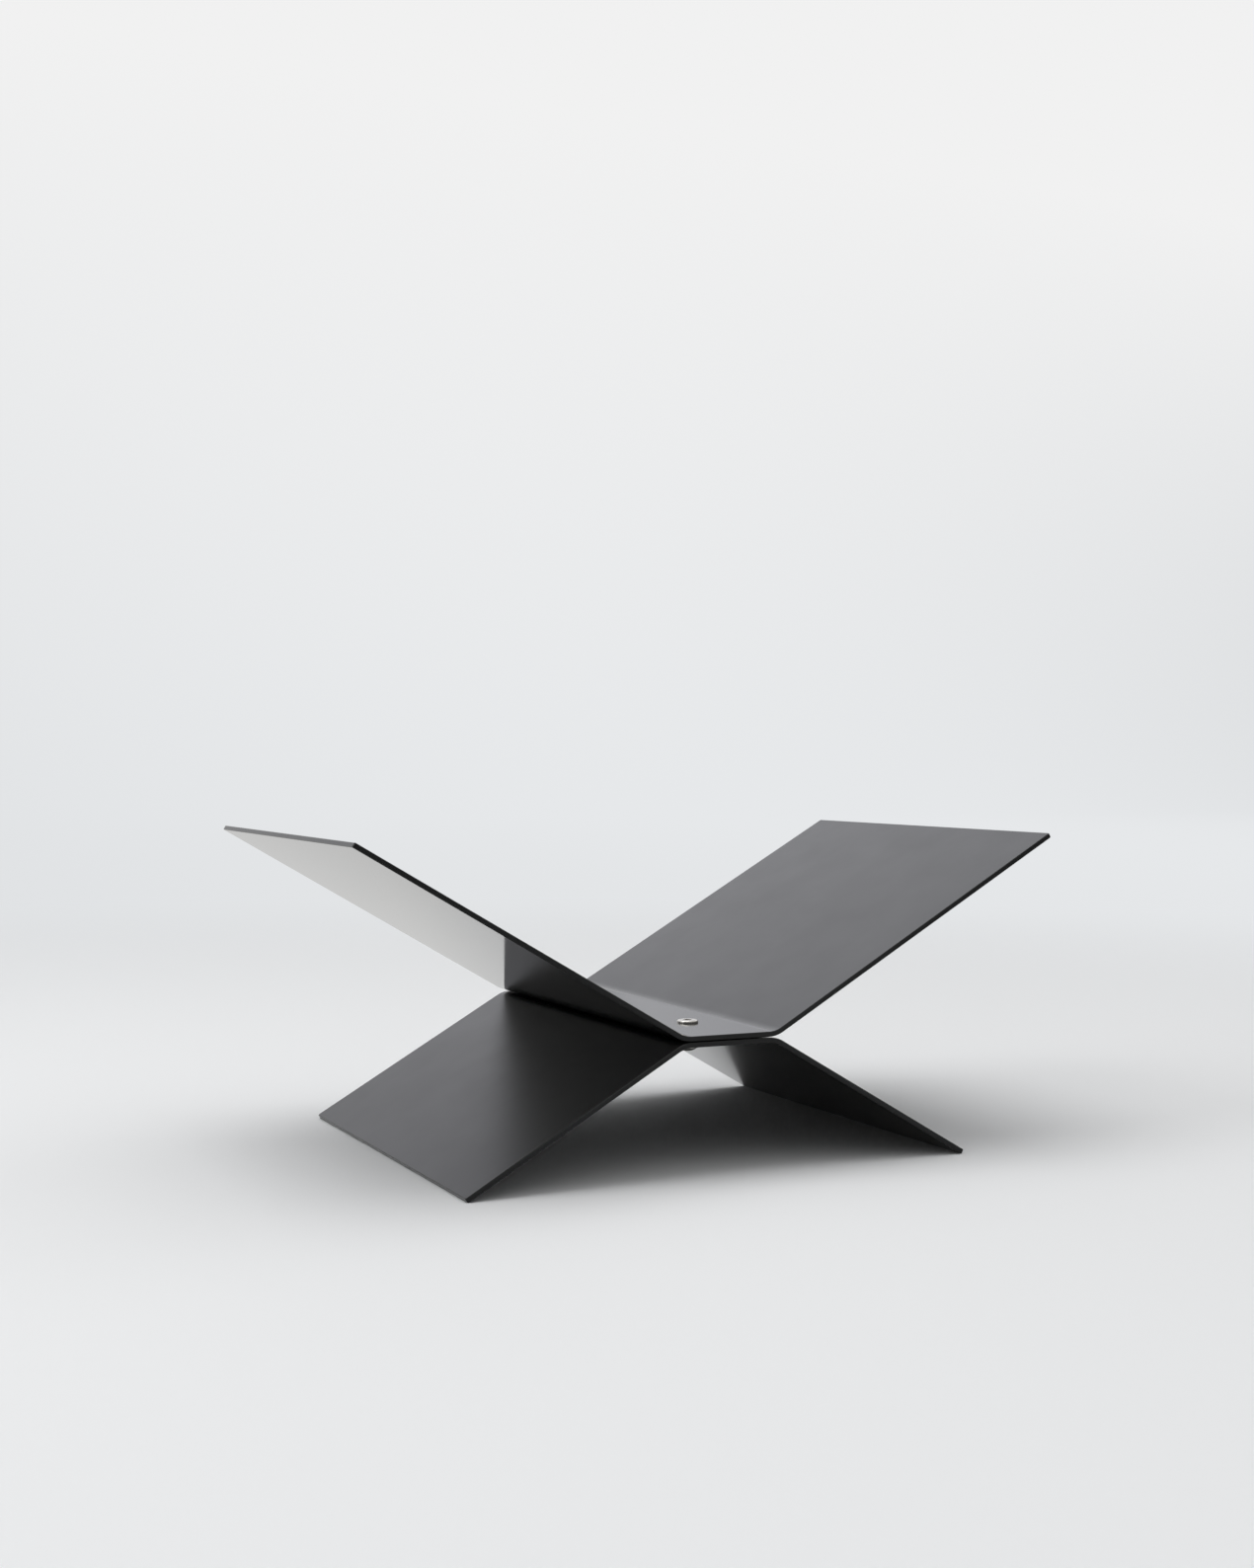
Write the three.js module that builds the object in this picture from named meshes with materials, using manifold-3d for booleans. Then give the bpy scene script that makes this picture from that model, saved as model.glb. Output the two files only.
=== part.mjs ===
// A table stand for one open book. Two steel sheets of the same depth are bent along two lines
// each and set back to back: the upper one opens upwards into two wings, the lower one opens
// downwards into two legs. Two low-head screws with washers and cap nuts hold the flats together.
// Millimetres, +Z up, X across the book, Y from front to back, origin on the table under the middle.

import * as THREE from "three";
import { mergeVertices } from "three/addons/utils/BufferGeometryUtils.js";
import Module from "manifold-3d";

// Bent sheets
const sheetDepth = 180;
const sheetThickness = 2;
const flatWidth = 40; // between the sharp outer corners of a sheet's two bends
const wingLength = 150; // from the sharp outer corner to the tip
const legLength = 101;
const wingAngle = THREE.MathUtils.degToRad(30); // rise over the flat
const legAngle = THREE.MathUtils.degToRad(30); // fall under the flat
const bendOuterRadius = 12;
const cornerRadius = 0.8;
const edgeBreak = 0.25; // chamfer along every cut edge
const sheetGap = 0.3; // the flats bow apart by this much at their coated edges

// Screws
const fastenerInset = 36; // from the front or back edge to the fastener's axis
const screwDiameter = 5;
const headDiameter = 8.4;
const headHeight = 1.1;
const headShoulderRadius = 0.7; // round between the head's rim and its flat top
const socketAcrossFlats = 3;
const socketDepth = 1.4;
const threadEngagement = 3.9; // length of shank inside the nut
const shankChamfer = 0.5;
const holeClearance = 0.3; // round the shank, in the sheets, the washer and the nut

// Washers and cap nuts
const washerDiameter = 10;
const washerThickness = 1;
const nutAcrossFlats = 8;
const nutHexagonHeight = 3.9;
const nutHeight = 6;
const nutSeatChamfer = 0.45;
const nutEndClearance = 0.6; // between the end of the shank and the bottom of the blind hole

// Facets
const bendSteps = 10;
const cornerSteps = 6;
const shoulderSteps = 5;
const domeSteps = 6;
const roundSegments = 36;

const wasm = await Module();
wasm.setup();

const powderCoat = { color: 0x1b1c1d, roughness: 0.45, metalness: 0.0 };
const stainlessSteel = { color: 0xc8c6c1, roughness: 0.28, metalness: 1.0 };

function solidFrom(geometry) {
  const bare = geometry.clone();
  bare.deleteAttribute("normal");
  bare.deleteAttribute("uv");
  const merged = mergeVertices(bare, 1e-5);
  const vertProperties = new Float32Array(merged.attributes.position.array);
  const triVerts = new Uint32Array(merged.index.array);
  return new wasm.Manifold(new wasm.Mesh({ numProp: 3, vertProperties, triVerts }));
}

function geometryFrom(solid) {
  const { vertProperties, triVerts } = solid.getMesh();
  const indexed = new THREE.BufferGeometry();
  indexed.setAttribute("position", new THREE.BufferAttribute(vertProperties, 3));
  indexed.setIndex(new THREE.BufferAttribute(triVerts, 1));
  const geometry = indexed.toNonIndexed();
  geometry.computeVertexNormals();
  return geometry;
}

function cut(geometry, cutters) {
  const rest = cutters.reduce((solid, cutter) => solid.subtract(solidFrom(cutter)), solidFrom(geometry));
  return geometryFrom(rest);
}

// Turned about Z from a half section of [radius, height] points.
function turned(section) {
  const points = section.map(([radius, height]) => new THREE.Vector2(radius, height));
  return new THREE.LatheGeometry(points, roundSegments).rotateX(Math.PI / 2);
}

function rod(radius, bottom, top) {
  return turned([[0, bottom], [radius, bottom], [radius, top], [0, top]]);
}

function hexagonalPrism(acrossFlats, bottom, height) {
  const cornerDistance = acrossFlats / Math.sqrt(3);
  const outline = new THREE.Shape();
  for (let corner = 0; corner < 6; corner += 1) {
    const angle = (corner * Math.PI) / 3;
    const point = [cornerDistance * Math.cos(angle), cornerDistance * Math.sin(angle)];
    if (corner === 0) outline.moveTo(...point);
    else outline.lineTo(...point);
  }
  return new THREE.ExtrudeGeometry(outline, { depth: height, bevelEnabled: false }).translate(0, 0, bottom);
}

// Points of a shallow dome from its rim to the axis.
function domeSection(rimRadius, rimHeight, topHeight) {
  const rise = topHeight - rimHeight;
  const sphereRadius = (rimRadius ** 2 + rise ** 2) / (2 * rise);
  const rimAngle = Math.asin(rimRadius / sphereRadius);
  const points = [];
  for (let step = 0; step <= domeSteps; step += 1) {
    const angle = rimAngle * (1 - step / domeSteps);
    points.push([sphereRadius * Math.sin(angle), topHeight - sphereRadius * (1 - Math.cos(angle))]);
  }
  points[domeSteps][0] = 0;
  return points;
}

// A sheet with its seating face on z = 0 and both arms rising. It is lofted as the flat blank
// is cut, with round corners and broken edges, and every point is then carried through the fold.
function bentSheet(armLength, armAngle) {
  const bendSetback = bendOuterRadius * Math.tan(armAngle / 2);
  const bendStart = flatWidth / 2 - bendSetback;
  const bendEnd = bendStart + bendOuterRadius * armAngle;
  const tip = bendEnd + armLength - bendSetback;

  // along: on the blank from the middle to a tip; across: front to back; up: through the sheet
  function folded(along, across, up) {
    const distance = Math.abs(along);
    const turn = THREE.MathUtils.clamp((distance - bendStart) / bendOuterRadius, 0, armAngle);
    const onFlat = Math.min(distance, bendStart);
    const onArm = Math.max(distance - bendEnd, 0);
    const radius = bendOuterRadius - up;
    const x = onFlat + radius * Math.sin(turn) + onArm * Math.cos(turn);
    const z = bendOuterRadius - radius * Math.cos(turn) + onArm * Math.sin(turn);
    return [Math.sign(along) * x, across, z];
  }

  // Each ring holds the blank's outline at its rim, and where the broken edge meets the faces.
  const rings = [];
  for (let step = 0; step <= bendSteps; step += 1) {
    const along = THREE.MathUtils.lerp(bendStart, bendEnd, step / bendSteps);
    rings.push({ rim: [along, sheetDepth / 2], face: [along, sheetDepth / 2 - edgeBreak] });
  }
  for (let step = 0; step <= cornerSteps; step += 1) {
    const angle = ((step / cornerSteps) * Math.PI) / 2;
    const onCorner = (radius) => [
      tip - cornerRadius + radius * Math.sin(angle),
      sheetDepth / 2 - cornerRadius + radius * Math.cos(angle),
    ];
    rings.push({ rim: onCorner(cornerRadius), face: onCorner(cornerRadius - edgeBreak) });
  }

  function ringPoints({ rim, face }, side) {
    const lowRim = edgeBreak;
    const highRim = sheetThickness - edgeBreak;
    return [
      folded(side * face[0], -face[1], 0),
      folded(side * face[0], face[1], 0),
      folded(side * rim[0], rim[1], lowRim),
      folded(side * rim[0], rim[1], highRim),
      folded(side * face[0], face[1], sheetThickness),
      folded(side * face[0], -face[1], sheetThickness),
      folded(side * rim[0], -rim[1], highRim),
      folded(side * rim[0], -rim[1], lowRim),
    ];
  }

  const left = rings.map((ring) => ringPoints(ring, -1)).reverse();
  const right = rings.map((ring) => ringPoints(ring, 1));
  return lofted([...left, ...right]);
}

// Skins rings of eight points, and closes both ends with the chamfer, the end face and the chamfer.
function lofted(rings) {
  const ringSize = 8;
  const endFaces = [[0, 1, 2, 7], [7, 2, 3, 6], [6, 3, 4, 5]];
  const index = [];
  for (let ring = 0; ring < rings.length - 1; ring += 1) {
    for (let point = 0; point < ringSize; point += 1) {
      const here = ring * ringSize + point;
      const next = ring * ringSize + ((point + 1) % ringSize);
      index.push(here, next, next + ringSize, here, next + ringSize, here + ringSize);
    }
  }
  const last = (rings.length - 1) * ringSize;
  for (const [a, b, c, d] of endFaces) {
    index.push(a, c, b, a, d, c);
    index.push(last + a, last + b, last + c, last + a, last + c, last + d);
  }
  const geometry = new THREE.BufferGeometry();
  geometry.setAttribute("position", new THREE.Float32BufferAttribute(rings.flat(2), 3));
  geometry.setIndex(index);
  return geometry;
}

const fastenerPlaces = {
  front: -sheetDepth / 2 + fastenerInset,
  rear: sheetDepth / 2 - fastenerInset,
};
const holeRadius = screwDiameter / 2 + holeClearance;

function drilledSheet(armLength, armAngle) {
  const holes = Object.values(fastenerPlaces).map((y) =>
    rod(holeRadius, -sheetThickness, 2 * sheetThickness).translate(0, y, 0)
  );
  return cut(bentSheet(armLength, armAngle), holes);
}

// Seated on z = 0, with the shank below it.
function screwGeometry() {
  const shankRadius = screwDiameter / 2;
  const headRadius = headDiameter / 2;
  const shankLength = 2 * sheetThickness + sheetGap + washerThickness + threadEngagement;
  const section = [
    [0, -shankLength],
    [shankRadius - shankChamfer, -shankLength],
    [shankRadius, shankChamfer - shankLength],
    [shankRadius, 0],
    [headRadius, 0],
  ];
  for (let step = 0; step <= shoulderSteps; step += 1) {
    const angle = ((step / shoulderSteps) * Math.PI) / 2;
    section.push([
      headRadius - headShoulderRadius * (1 - Math.cos(angle)),
      headHeight - headShoulderRadius * (1 - Math.sin(angle)),
    ]);
  }
  const body = turned([...section, [0, headHeight]]);
  return cut(body, [hexagonalPrism(socketAcrossFlats, headHeight - socketDepth, 2 * socketDepth)]);
}

function washerGeometry() {
  const outer = washerDiameter / 2;
  return turned([
    [holeRadius, -washerThickness],
    [outer, -washerThickness],
    [outer, 0],
    [holeRadius, 0],
    [holeRadius, -washerThickness],
  ]);
}

// Standing on its seat, crown up: a hexagon trimmed by a turned outline, with a blind hole.
function capNutGeometry() {
  const cornerDistance = nutAcrossFlats / Math.sqrt(3);
  const outline = turned([
    [0, 0],
    [cornerDistance - nutSeatChamfer * Math.sqrt(3), 0],
    [cornerDistance, nutSeatChamfer],
    ...domeSection(cornerDistance, nutHexagonHeight, nutHeight),
  ]);
  const hexagon = hexagonalPrism(nutAcrossFlats, 0, nutHeight);
  const blank = geometryFrom(solidFrom(hexagon).intersect(solidFrom(outline)));
  return cut(blank, [rod(holeRadius, -1, threadEngagement + nutEndClearance)]);
}

const stand = new THREE.Group();

function addPiece(name, geometry, finish, x = 0, y = 0, z = 0) {
  const piece = new THREE.Mesh(geometry, new THREE.MeshStandardMaterial(finish));
  piece.name = name;
  piece.position.set(x, y, z);
  stand.add(piece);
  return piece;
}

// The lower sheet is turned over onto its tips, which sets the height of everything above it.
const lowerSheet = drilledSheet(legLength, legAngle);
lowerSheet.computeBoundingBox();
const flatHeight = lowerSheet.boundingBox.max.z;
addPiece("lower_plate", lowerSheet, powderCoat, 0, 0, flatHeight).rotation.y = Math.PI;
addPiece("upper_plate", drilledSheet(wingLength, wingAngle), powderCoat, 0, 0, flatHeight + sheetGap);

const headSeat = flatHeight + sheetGap + sheetThickness;
const washerSeat = flatHeight - sheetThickness;
const nutSeat = washerSeat - washerThickness;
for (const [place, y] of Object.entries(fastenerPlaces)) {
  addPiece(`screw_${place}`, screwGeometry(), stainlessSteel, 0, y, headSeat);
  addPiece(`washer_${place}`, washerGeometry(), stainlessSteel, 0, y, washerSeat);
  addPiece(`cap_nut_${place}`, capNutGeometry(), stainlessSteel, 0, y, nutSeat).rotation.x = Math.PI;
}

export default stand;
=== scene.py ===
import math

import bpy
from mathutils import Matrix, Vector


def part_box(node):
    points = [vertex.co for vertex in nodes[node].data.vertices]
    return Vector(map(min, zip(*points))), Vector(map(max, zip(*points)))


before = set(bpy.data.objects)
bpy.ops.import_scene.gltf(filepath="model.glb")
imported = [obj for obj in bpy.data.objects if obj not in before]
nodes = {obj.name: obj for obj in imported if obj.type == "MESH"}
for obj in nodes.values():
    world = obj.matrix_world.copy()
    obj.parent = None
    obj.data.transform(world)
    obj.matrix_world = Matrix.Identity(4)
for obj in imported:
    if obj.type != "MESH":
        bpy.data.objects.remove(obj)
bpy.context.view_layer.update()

millimetre = 0.001
noiseSpan = (0.3, 0.7)  # the values that a noise mostly keeps to
print("frame loaded:", ", ".join(sorted(nodes)))


# helpers for node trees and materials

def linearColour(hexCode):
    channels = [int(hexCode[i:i + 2], 16) / 255 for i in (1, 3, 5)]
    curve = [c / 12.92 if c <= 0.04045 else ((c + 0.055) / 1.055) ** 2.4 for c in channels]
    return (*curve, 1.0)


def addNode(tree, kind, settings=None, **inputs):
    # an input is a socket to link from, a hex colour or a plain value. Its name is the socket's, with _
    # for a space, or i and the socket's place in the row
    node = tree.nodes.new(kind)
    for name, value in (settings or {}).items():
        setattr(node, name, value)
    for name, value in inputs.items():
        key = int(name[1:]) if name[0] == "i" and name[1:].isdigit() else name.replace("_", " ")
        if isinstance(value, bpy.types.NodeSocket):
            tree.links.new(value, node.inputs[key])
        else:
            node.inputs[key].default_value = linearColour(value) if isinstance(value, str) else value
    return node


def calculate(tree, operation, first, second=0.0):
    return addNode(tree, "ShaderNodeMath", {"operation": operation}, i0=first, i1=second).outputs[0]


def remap(tree, value, source, target=(0.0, 1.0), smooth=False):
    # source's two ends become target's, and values beyond them are held there
    interpolation = "SMOOTHSTEP" if smooth else "LINEAR"
    node = addNode(tree, "ShaderNodeMapRange", {"interpolation_type": interpolation}, Value=value,
                   From_Min=source[0], From_Max=source[1], To_Min=target[0], To_Max=target[1])
    return node.outputs["Result"]


def mixColours(tree, share, first, second):
    node = addNode(tree, "ShaderNodeMix", {"data_type": "RGBA"}, Factor=share, i6=first, i7=second)
    return node.outputs[2]


def mixShaders(tree, share, first, second):
    return addNode(tree, "ShaderNodeMixShader", i0=share, i1=first, i2=second).outputs[0]


def glow(tree, colour):
    return addNode(tree, "ShaderNodeEmission", Color=colour, Strength=1.0).outputs[0]


def noise(tree, place, width, detail, roughness=0.5):
    # width is in mm, from one swell to the next
    node = addNode(tree, "ShaderNodeTexNoise", Vector=place, Scale=1 / (width * millimetre),
                   Detail=detail, Roughness=roughness)
    return node.outputs["Fac"]


def bump(tree, height, strength, depth):
    # depth is in mm
    node = addNode(tree, "ShaderNodeBump", Height=height, Strength=strength, Distance=depth * millimetre)
    return node.outputs["Normal"]


def newMaterial(name):
    material = bpy.data.materials.new(name)
    material.use_nodes = True
    material.node_tree.nodes.clear()
    return material, material.node_tree


def giveMaterial(piece, material):
    if not piece.material_slots:
        piece.data.materials.append(material)
    for slot in piece.material_slots:
        slot.material = material


# camera, solved from the stand's corners in the photograph
cameraView = {
    "place": (-0.35699, -0.73679, 0.15829),
    "turnRight": 25.776,  # degrees from straight along +Y
    "tiltDown": 0.717,
    "roll": -0.342,
    "focalPixels": 1972.6,
    "pictureWidth": 1270,
    "sensorWidth": 36,  # mm
    "nearClip": 0.01,
}


def addCamera(view):
    yaw, pitch, roll = (math.radians(view[k]) for k in ("turnRight", "tiltDown", "roll"))
    forward = Vector((math.sin(yaw) * math.cos(pitch), math.cos(yaw) * math.cos(pitch), -math.sin(pitch)))
    level = Vector((math.cos(yaw), -math.sin(yaw), 0))
    down = forward.cross(level)
    right = math.cos(roll) * level + math.sin(roll) * down
    up = math.sin(roll) * level - math.cos(roll) * down
    data = bpy.data.cameras.new("photoCamera")
    data.sensor_fit = "HORIZONTAL"
    data.sensor_width = view["sensorWidth"]
    data.lens = view["sensorWidth"] * view["focalPixels"] / view["pictureWidth"]
    data.clip_start = view["nearClip"]
    camera = bpy.data.objects.new("photoCamera", data)
    turn = Matrix((right, up, -forward)).transposed()
    camera.matrix_world = Matrix.Translation(view["place"]) @ turn.to_4x4()
    bpy.context.scene.collection.objects.link(camera)
    bpy.context.scene.camera = camera


addCamera(cameraView)
print("camera placed")


# studio sweep of matte paper: a pale floor that curves up into a wall. The camera sees the lit floor
# near the stand and, further out, an even wall light that brightens upwards. The sheets mirror a
# slightly brighter room behind the stand. Lengths are in metres, but for the grain's
sweep = {
    "colour": "#eeeff0",
    "grainWidth": 0.6,  # mm
    "grainDepth": 0.1,
    "grainStrength": 0.05,
    "wallLow": "#e6e8ea",
    "wallHigh": "#f1f1f1",
    "wallTop": 2.6,  # height at which the wall is at its lightest
    "wallSide": "#d3d5d7",  # low on the wall the light falls off to both sides
    "brightestAt": 2.3,
    "sideReach": 6.5,
    "mirrored": "#f9f9f8",
    "mirroredHigh": "#f7f8ff",  # up the wall the mirrored room is a little bluer
    "mirroredRise": (0.8, 2.4),
    "mirroredBehind": (0.12, 0.40),  # along +Y, where the mirrored floor turns into the brighter room
    "fade": (0.35, 1.4),  # how far out the lit floor gives way to the even light, on all sides
    "halfWidth": 9.0,
    "frontEdge": -3.0,
    "curveStart": 4.0,
    "curveRadius": 2.0,
    "curveSteps": 24,
    "height": 7.0,
}


def sweepMaterial(look):
    material, tree = newMaterial("mattePaperSweep")
    place = addNode(tree, "ShaderNodeTexCoord").outputs["Object"]
    across, back, up = addNode(tree, "ShaderNodeSeparateXYZ", Vector=place).outputs
    outward = addNode(tree, "ShaderNodeVectorMath", {"operation": "LENGTH"}, i0=place).outputs["Value"]
    rays = addNode(tree, "ShaderNodeLightPath").outputs

    grain = noise(tree, place, look["grainWidth"], detail=2.0)
    paper = addNode(tree, "ShaderNodeBsdfDiffuse", Color=look["colour"],
                    Normal=bump(tree, grain, look["grainStrength"], look["grainDepth"]))

    wallRise = (0.0, look["wallTop"])
    middle = mixColours(tree, remap(tree, up, wallRise), look["wallLow"], look["wallHigh"])
    aside = calculate(tree, "ABSOLUTE", calculate(tree, "SUBTRACT", across, look["brightestAt"]))
    sideFall = remap(tree, aside, (0.0, look["sideReach"]), smooth=True)
    lowFall = calculate(tree, "MULTIPLY", sideFall, remap(tree, up, wallRise, (1.0, 0.0)))
    wall = mixColours(tree, lowFall, middle, look["wallSide"])

    climb = remap(tree, up, look["mirroredRise"])
    mirrored = mixColours(tree, climb, look["mirrored"], look["mirroredHigh"])

    far = remap(tree, outward, look["fade"], smooth=True)
    behind = remap(tree, back, look["mirroredBehind"], smooth=True)
    seenFar = calculate(tree, "MULTIPLY", rays["Is Camera Ray"], far)
    mirroredFar = calculate(tree, "MULTIPLY", rays["Is Glossy Ray"], behind)
    seen = mixShaders(tree, seenFar, paper.outputs[0], glow(tree, wall))
    blend = mixShaders(tree, mirroredFar, seen, glow(tree, mirrored))
    addNode(tree, "ShaderNodeOutputMaterial", Surface=blend)
    return material


def addSweep(look):
    radius = look["curveRadius"]
    profile = [(look["frontEdge"], 0.0)]
    for step in range(look["curveSteps"] + 1):
        angle = math.radians(90) * step / look["curveSteps"]
        profile.append((look["curveStart"] + radius * math.sin(angle), radius - radius * math.cos(angle)))
    profile.append((look["curveStart"] + radius, look["height"]))
    sides = (-look["halfWidth"], look["halfWidth"])
    vertices = [(x, y, z) for y, z in profile for x in sides]
    faces = [(2 * i, 2 * i + 1, 2 * i + 3, 2 * i + 2) for i in range(len(profile) - 1)]
    mesh = bpy.data.meshes.new("studioSweep")
    mesh.from_pydata(vertices, [], faces)
    mesh.shade_smooth()
    piece = bpy.data.objects.new("studioSweep", mesh)
    bpy.context.scene.collection.objects.link(piece)
    giveMaterial(piece, sweepMaterial(look))


addSweep(sweep)
print("studio sweep built")


# lamps: large soft boxes overhead and high behind the stand, where the right wing mirrors it, and a
# small one at each side, in a room that is darker near the floor. Places and sizes are in metres
lamps = {
    "overhead": {"place": (-0.45, 0.1, 2.0), "aim": (0.0, 0.1, 0.0), "size": 1.6, "watts": 11.5},
    "highBack": {"place": (1.45, 4.6, 3.0), "aim": (0.0, 0.0, 0.1), "size": 2.7, "watts": 7},
    "leftSide": {"place": (-1.7, 0.0, 1.2), "aim": (0.0, -0.1, 0.05), "size": 0.9, "watts": 8},
    "rightSide": {"place": (1.7, 0.4, 1.2), "aim": (0.0, 0.0, 0.05), "size": 0.9, "watts": 1.5},
}
roomLight = {
    "low": "#2c2c2c",
    "high": "#f2f2f2",
    "seen": "#e3e5e7",  # what the camera sees past the ends of the sweep
}


def addLamps(lampList):
    for name, lamp in lampList.items():
        data = bpy.data.lights.new(name, "AREA")
        data.shape = "SQUARE"
        data.size = lamp["size"]
        data.energy = lamp["watts"]
        piece = bpy.data.objects.new(name, data)
        piece.location = lamp["place"]
        direction = Vector(lamp["aim"]) - Vector(lamp["place"])
        piece.rotation_euler = direction.to_track_quat("-Z", "Y").to_euler()
        bpy.context.scene.collection.objects.link(piece)


def addRoomLight(look):
    world = bpy.data.worlds.new("studioRoom")
    world.use_nodes = True
    tree = world.node_tree
    tree.nodes.clear()
    direction = addNode(tree, "ShaderNodeTexCoord").outputs["Generated"]
    up = addNode(tree, "ShaderNodeSeparateXYZ", Vector=direction).outputs["Z"]
    light = mixColours(tree, remap(tree, up, (0.0, 1.0)), look["low"], look["high"])
    rays = addNode(tree, "ShaderNodeLightPath").outputs
    seen = mixColours(tree, rays["Is Camera Ray"], light, look["seen"])
    background = addNode(tree, "ShaderNodeBackground", Color=seen, Strength=1.0)
    addNode(tree, "ShaderNodeOutputWorld", Surface=background.outputs[0])
    bpy.context.scene.world = world


addLamps(lamps)
addRoomLight(roomLight)
print("lamps set")


# polyester powder coat, sprayed and baked on the bent sheet: near black with a fine texture that
# blurs what it mirrors, until it is seen almost edge on and turns into a clear mirror
powderCoat = {
    "black": "#070808",
    "blackWorn": "#0a0b0b",
    "cloudWidth": 25,  # mm, patches where the black and the sheen vary
    "roughness": (0.28, 0.32),
    "edgeOnRoughness": 0.05,
    "satinUpTo": 0.74,  # 1 - cosine of the angle to the face, where the mirror starts to clear
    "mirrorFrom": 0.895,
    "ior": 1.5,
    "gloss": 0.5,  # specular level, the usual value on the faces
    "cutEdgeGloss": 0.3,  # along the front and back edges, where the coat draws back and dries matt
    "cutEdgeTilt": (0.35, 0.65),  # Y of the normal where the face gives way to the edge
    "peelWidth": 0.45,  # mm from bump to bump
    "peelDepth": 0.003,
    "peelStrength": 0.2,
    "dustSpacing": 9,  # mm between specks
    "dustSize": 0.12,  # mm from a speck's middle to where it ends, faint from half way out
    "dustColour": "#8f908f",
    "dustShare": 0.35,  # how much of its colour a speck gives to the black
}


def powderCoatMaterial(look):
    material, tree = newMaterial("bakedSatinPowderCoat")
    coords = addNode(tree, "ShaderNodeTexCoord").outputs
    place = coords["Object"]

    peel = noise(tree, place, look["peelWidth"], detail=2.0)
    cloud = noise(tree, place, look["cloudWidth"], detail=4.0, roughness=0.6)
    satin = remap(tree, cloud, noiseSpan, look["roughness"])
    tilt = addNode(tree, "ShaderNodeLayerWeight", Blend=0.5).outputs["Facing"]
    clearing = remap(tree, tilt, (look["satinUpTo"], look["mirrorFrom"]),
                     (1.0, look["edgeOnRoughness"] / look["roughness"][1]), smooth=True)

    black = mixColours(tree, cloud, look["black"], look["blackWorn"])
    cellScale = 1 / (look["dustSpacing"] * millimetre)
    fromSpeck = addNode(tree, "ShaderNodeTexVoronoi", Vector=place, Scale=cellScale).outputs["Distance"]
    reach = look["dustSize"] / look["dustSpacing"]
    speck = remap(tree, fromSpeck, (reach, reach / 2), (0.0, look["dustShare"]))

    towardsY = addNode(tree, "ShaderNodeSeparateXYZ", Vector=coords["Normal"]).outputs["Y"]
    gloss = remap(tree, calculate(tree, "ABSOLUTE", towardsY), look["cutEdgeTilt"],
                  (look["gloss"], look["cutEdgeGloss"]))
    coat = addNode(tree, "ShaderNodeBsdfPrincipled", IOR=look["ior"], Specular_IOR_Level=gloss,
                   Base_Color=mixColours(tree, speck, black, look["dustColour"]),
                   Roughness=calculate(tree, "MULTIPLY", satin, clearing),
                   Normal=bump(tree, peel, look["peelStrength"], look["peelDepth"]))
    addNode(tree, "ShaderNodeOutputMaterial", Surface=coat.outputs[0])
    return material


def addBareSteel(tree, look, haze, normal):
    steel = addNode(tree, "ShaderNodeBsdfPrincipled", Base_Color=look["steel"], Metallic=1.0,
                    Roughness=remap(tree, haze, noiseSpan, look["roughness"]), Normal=normal)
    addNode(tree, "ShaderNodeOutputMaterial", Surface=steel.outputs[0])


# A2 stainless steel, turned on the heads: fine rings round the axis draw the light into a cross
turnedSteel = {
    "steel": "#cfccc6",
    "roughness": (0.22, 0.34),
    "hazeWidth": 1.5,  # mm
    "ringPitch": 0.12,  # mm, the feed of the tool
    "ringDepth": 0.002,
    "ringStrength": 0.5,
}


def turnedSteelMaterial(name, axisPlace, look):
    material, tree = newMaterial(name)
    place = addNode(tree, "ShaderNodeTexCoord").outputs["Object"]
    fromAxis = addNode(tree, "ShaderNodeVectorMath", {"operation": "SUBTRACT"}, i0=place, i1=axisPlace)
    split = addNode(tree, "ShaderNodeSeparateXYZ", Vector=fromAxis.outputs["Vector"]).outputs
    level = addNode(tree, "ShaderNodeCombineXYZ", X=split["X"], Y=split["Y"]).outputs["Vector"]
    radius = addNode(tree, "ShaderNodeVectorMath", {"operation": "LENGTH"}, i0=level).outputs["Value"]
    turns = calculate(tree, "MULTIPLY", radius, 2 * math.pi / (look["ringPitch"] * millimetre))
    rings = bump(tree, calculate(tree, "SINE", turns), look["ringStrength"], look["ringDepth"])
    addBareSteel(tree, look, noise(tree, place, look["hazeWidth"], detail=3.0), rings)
    return material


# tumbled stainless steel on what hides below: an even, slightly dull grey
tumbledSteel = {
    "steel": "#bdbbb6",
    "roughness": (0.32, 0.45),
    "dentWidth": 0.4,  # mm
    "dentDepth": 0.01,
    "dentStrength": 0.3,
}


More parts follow.
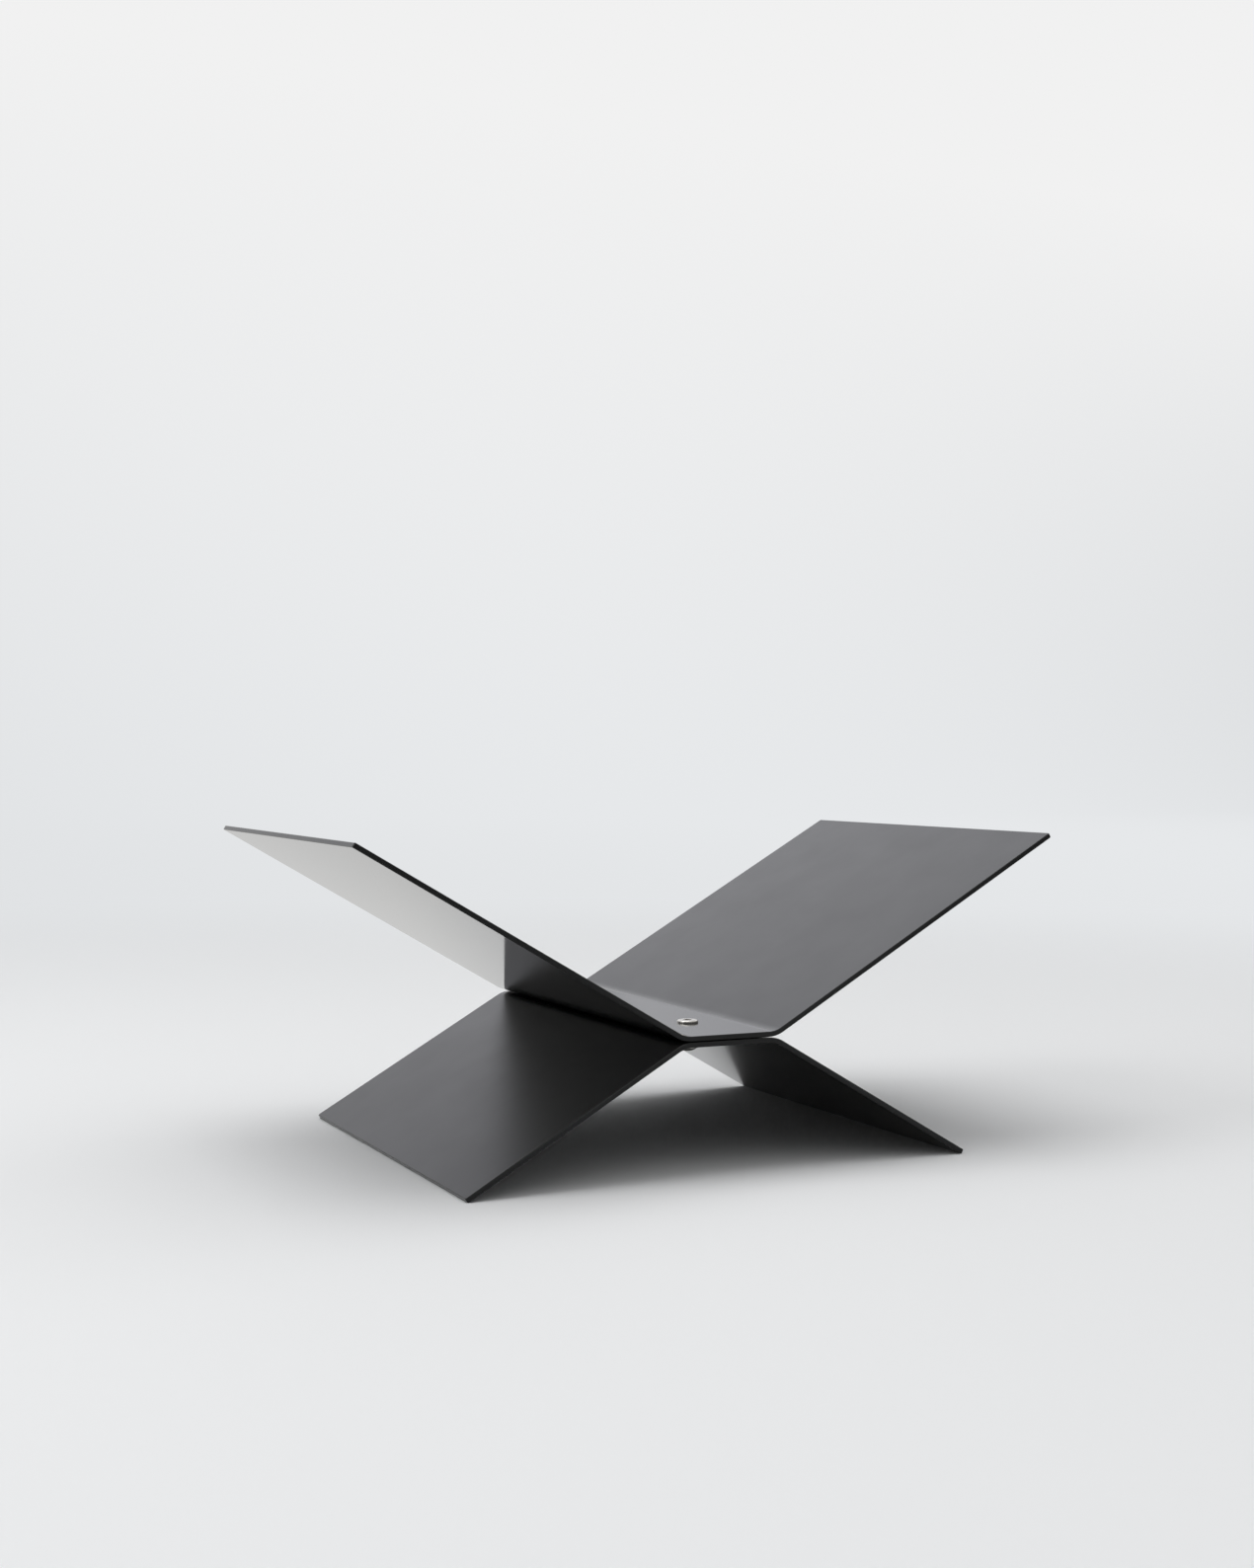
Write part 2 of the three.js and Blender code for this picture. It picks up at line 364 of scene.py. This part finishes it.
def tumbledSteelMaterial(look):
    material, tree = newMaterial("tumbledStainlessSteel")
    place = addNode(tree, "ShaderNodeTexCoord").outputs["Object"]
    dents = noise(tree, place, look["dentWidth"], detail=3.0)
    addBareSteel(tree, look, dents, bump(tree, dents, look["dentStrength"], look["dentDepth"]))
    return material


# shading: bends read as round, and real edges stay crisp
edgeShading = {"sharpAngle": 25}  # degrees


def smoothTree(look):
    tree = bpy.data.node_groups.new("smoothByAngle", "GeometryNodeTree")
    tree.interface.new_socket("Geometry", in_out="INPUT", socket_type="NodeSocketGeometry")
    tree.interface.new_socket("Geometry", in_out="OUTPUT", socket_type="NodeSocketGeometry")
    source = addNode(tree, "NodeGroupInput")
    angle = addNode(tree, "GeometryNodeInputMeshEdgeAngle")
    sharp = addNode(tree, "FunctionNodeCompare", {"data_type": "FLOAT", "operation": "GREATER_THAN"},
                    i0=angle.outputs["Unsigned Angle"], i1=math.radians(look["sharpAngle"]))
    faces = addNode(tree, "GeometryNodeSetShadeSmooth", {"domain": "FACE"},
                    Geometry=source.outputs[0], Shade_Smooth=True)
    edges = addNode(tree, "GeometryNodeSetShadeSmooth", {"domain": "EDGE"}, Geometry=faces.outputs[0],
                    Selection=sharp.outputs[0], Shade_Smooth=False)
    addNode(tree, "NodeGroupOutput", i0=edges.outputs[0])
    return tree


def shadeSmooth(piece, tree):
    smooth = piece.modifiers.new("smoothByAngle", "NODES")
    smooth.node_group = tree
    weighted = piece.modifiers.new("faceWeighted", "WEIGHTED_NORMAL")
    weighted.mode = "FACE_AREA"
    weighted.keep_sharp = True


def finishPieces():
    coat = powderCoatMaterial(powderCoat)
    tumbled = tumbledSteelMaterial(tumbledSteel)
    tree = smoothTree(edgeShading)
    for name, piece in nodes.items():
        shadeSmooth(piece, tree)
        if name.endswith("plate"):
            giveMaterial(piece, coat)
        elif name.startswith("screw"):
            low, high = (Vector(corner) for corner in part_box(name))
            turned = turnedSteelMaterial(f"turnedStainless_{name}", (low + high) / 2, turnedSteel)
            giveMaterial(piece, turned)
        else:
            giveMaterial(piece, tumbled)


finishPieces()
print("pieces finished")

scene = bpy.context.scene
scene.view_settings.view_transform = "Standard"
